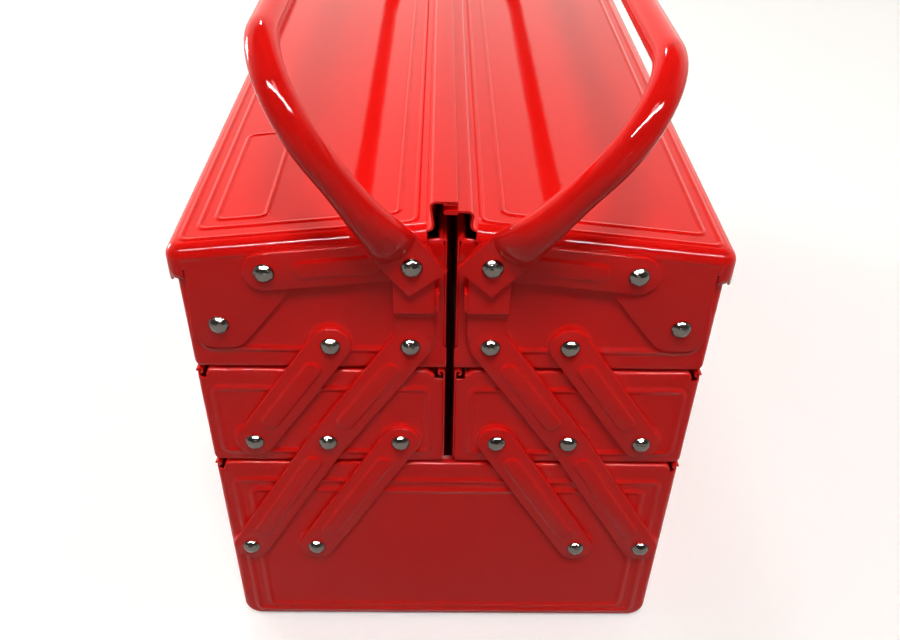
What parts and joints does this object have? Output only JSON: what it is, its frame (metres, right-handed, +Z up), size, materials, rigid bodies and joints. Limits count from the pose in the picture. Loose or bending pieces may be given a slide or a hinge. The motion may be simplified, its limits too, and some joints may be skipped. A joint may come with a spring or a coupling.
{
  "type": "cantilever toolbox",
  "caption": "Sheet steel toolbox whose trays swing out on riveted arms to both sides, with interlocking lids linked to the arms and a folding tube handle on each half.",
  "frame": {"origin": "on the floor under the middle of the closed box", "axes": "+Z up, +Y along the box's length from the end shown nearest in the picture to the far end, +X across to the right seen from that near end"},
  "size_m": [0.207, 0.505, 0.2966],
  "materials": {
    "red_enamel": "glossy red enamel on pressed steel sheet",
    "bare_nickel": "nickel plated dome rivets"
  },
  "bodies": {
    "bottom_tray": {"bottom_tray_pan": "red_enamel", "bottom_tray_front_end": "red_enamel", "bottom_tray_rear_end": "red_enamel", "bottom_tray_rivets": "bare_nickel"},
    "left_long_arms": {"left_front_long_arm": "red_enamel", "left_rear_long_arm": "red_enamel", "left_long_arm_rivets": "bare_nickel"},
    "left_lower_arms": {"left_front_lower_arm": "red_enamel", "left_rear_lower_arm": "red_enamel"},
    "left_middle_tray": {"left_middle_tray_pan": "red_enamel", "left_front_middle_tray_end": "red_enamel", "left_rear_middle_tray_end": "red_enamel", "left_middle_tray_rivets": "bare_nickel"},
    "left_upper_arms": {"left_front_upper_arm": "red_enamel", "left_rear_upper_arm": "red_enamel"},
    "left_top_tray": {"left_top_tray_pan": "red_enamel", "left_front_top_tray_end": "red_enamel", "left_rear_top_tray_end": "red_enamel", "left_top_tray_rivets": "bare_nickel"},
    "left_lid": {"left_lid": "red_enamel"},
    "left_lid_links": {"left_front_lid_link": "red_enamel", "left_rear_lid_link": "red_enamel", "left_lid_link_rivets": "bare_nickel"},
    "left_handle": {"left_handle": "red_enamel"},
    "right_long_arms": {"right_front_long_arm": "red_enamel", "right_rear_long_arm": "red_enamel", "right_long_arm_rivets": "bare_nickel"},
    "right_lower_arms": {"right_front_lower_arm": "red_enamel", "right_rear_lower_arm": "red_enamel"},
    "right_middle_tray": {"right_middle_tray_pan": "red_enamel", "right_front_middle_tray_end": "red_enamel", "right_rear_middle_tray_end": "red_enamel", "right_middle_tray_rivets": "bare_nickel"},
    "right_upper_arms": {"right_front_upper_arm": "red_enamel", "right_rear_upper_arm": "red_enamel"},
    "right_top_tray": {"right_top_tray_pan": "red_enamel", "right_front_top_tray_end": "red_enamel", "right_rear_top_tray_end": "red_enamel", "right_top_tray_rivets": "bare_nickel"},
    "right_lid": {"right_lid": "red_enamel"},
    "right_lid_links": {"right_front_lid_link": "red_enamel", "right_rear_lid_link": "red_enamel", "right_lid_link_rivets": "bare_nickel"},
    "right_handle": {"right_handle": "red_enamel"}
  },
  "joints": [
    {"name": "left_long_arm_swing", "type": "hinge", "parent": "bottom_tray", "child": "left_long_arms", "pos_m": [-0.09, 0, 0.057], "axis": [0, -1, 0], "range_deg": [0, 60]},
    {"name": "left_lower_arm_swing", "type": "hinge", "parent": "bottom_tray", "child": "left_lower_arms", "pos_m": [-0.06, 0, 0.057], "axis": [0, -1, 0], "range_deg": [0, 60]},
    {"name": "left_middle_tray_pivot", "type": "hinge", "parent": "left_long_arms", "child": "left_middle_tray", "pos_m": [-0.05, 0, 0.125], "axis": [0, -1, 0], "range_deg": [-60, 0]},
    {"name": "left_upper_arm_swing", "type": "hinge", "parent": "left_middle_tray", "child": "left_upper_arms", "pos_m": [-0.0805, 0, 0.125], "axis": [0, -1, 0], "range_deg": [0, 60]},
    {"name": "left_top_tray_pivot", "type": "hinge", "parent": "left_long_arms", "child": "left_top_tray", "pos_m": [-0.0153, 0, 0.1764], "axis": [0, -1, 0], "range_deg": [-60, 0]},
    {"name": "left_lid_hinge", "type": "hinge", "parent": "left_top_tray", "child": "left_lid", "pos_m": [-0.087, 0, 0.1855], "axis": [0, -1, 0], "range_deg": [0, 61.4]},
    {"name": "left_lid_link_swing", "type": "hinge", "parent": "left_long_arms", "child": "left_lid_links", "pos_m": [-0.0142, 0, 0.2162], "axis": [0, -1, 0], "range_deg": [-85.5, 0]},
    {"name": "left_handle_fold", "type": "hinge", "parent": "left_long_arms", "child": "left_handle", "pos_m": [-0.0142, 0, 0.2162], "axis": [0, 1, 0], "range_deg": [0, 37]},
    {"name": "right_long_arm_swing", "type": "hinge", "parent": "bottom_tray", "child": "right_long_arms", "pos_m": [0.09, 0, 0.057], "axis": [0, 1, 0], "range_deg": [0, 60]},
    {"name": "right_lower_arm_swing", "type": "hinge", "parent": "bottom_tray", "child": "right_lower_arms", "pos_m": [0.06, 0, 0.057], "axis": [0, 1, 0], "range_deg": [0, 60]},
    {"name": "right_middle_tray_pivot", "type": "hinge", "parent": "right_long_arms", "child": "right_middle_tray", "pos_m": [0.05, 0, 0.125], "axis": [0, 1, 0], "range_deg": [-60, 0]},
    {"name": "right_upper_arm_swing", "type": "hinge", "parent": "right_middle_tray", "child": "right_upper_arms", "pos_m": [0.0805, 0, 0.125], "axis": [0, 1, 0], "range_deg": [0, 60]},
    {"name": "right_top_tray_pivot", "type": "hinge", "parent": "right_long_arms", "child": "right_top_tray", "pos_m": [0.0153, 0, 0.1764], "axis": [0, 1, 0], "range_deg": [-60, 0]},
    {"name": "right_lid_hinge", "type": "hinge", "parent": "right_top_tray", "child": "right_lid", "pos_m": [0.087, 0, 0.1855], "axis": [0, 1, 0], "range_deg": [0, 61.4]},
    {"name": "right_lid_link_swing", "type": "hinge", "parent": "right_long_arms", "child": "right_lid_links", "pos_m": [0.0142, 0, 0.2162], "axis": [0, 1, 0], "range_deg": [-85.5, 0]},
    {"name": "right_handle_fold", "type": "hinge", "parent": "right_long_arms", "child": "right_handle", "pos_m": [0.0142, 0, 0.2162], "axis": [0, -1, 0], "range_deg": [0, 43]}
  ],
  "couplings": [
    {"joint": "left_lower_arm_swing", "follows": "left_long_arm_swing", "ratio": 1},
    {"joint": "left_middle_tray_pivot", "follows": "left_long_arm_swing", "ratio": -1},
    {"joint": "left_upper_arm_swing", "follows": "left_long_arm_swing", "ratio": 1},
    {"joint": "left_top_tray_pivot", "follows": "left_long_arm_swing", "ratio": -1},
    {"joint": "left_lid_hinge", "follows": "left_long_arm_swing", "ratio": 1.0217},
    {"joint": "left_lid_link_swing", "follows": "left_long_arm_swing", "ratio": -1.4233},
    {"joint": "right_long_arm_swing", "follows": "left_long_arm_swing", "ratio": 1},
    {"joint": "right_lower_arm_swing", "follows": "left_long_arm_swing", "ratio": 1},
    {"joint": "right_middle_tray_pivot", "follows": "left_long_arm_swing", "ratio": -1},
    {"joint": "right_upper_arm_swing", "follows": "left_long_arm_swing", "ratio": 1},
    {"joint": "right_top_tray_pivot", "follows": "left_long_arm_swing", "ratio": -1},
    {"joint": "right_lid_hinge", "follows": "left_long_arm_swing", "ratio": 1.0217},
    {"joint": "right_lid_link_swing", "follows": "left_long_arm_swing", "ratio": -1.4233}
  ]
}
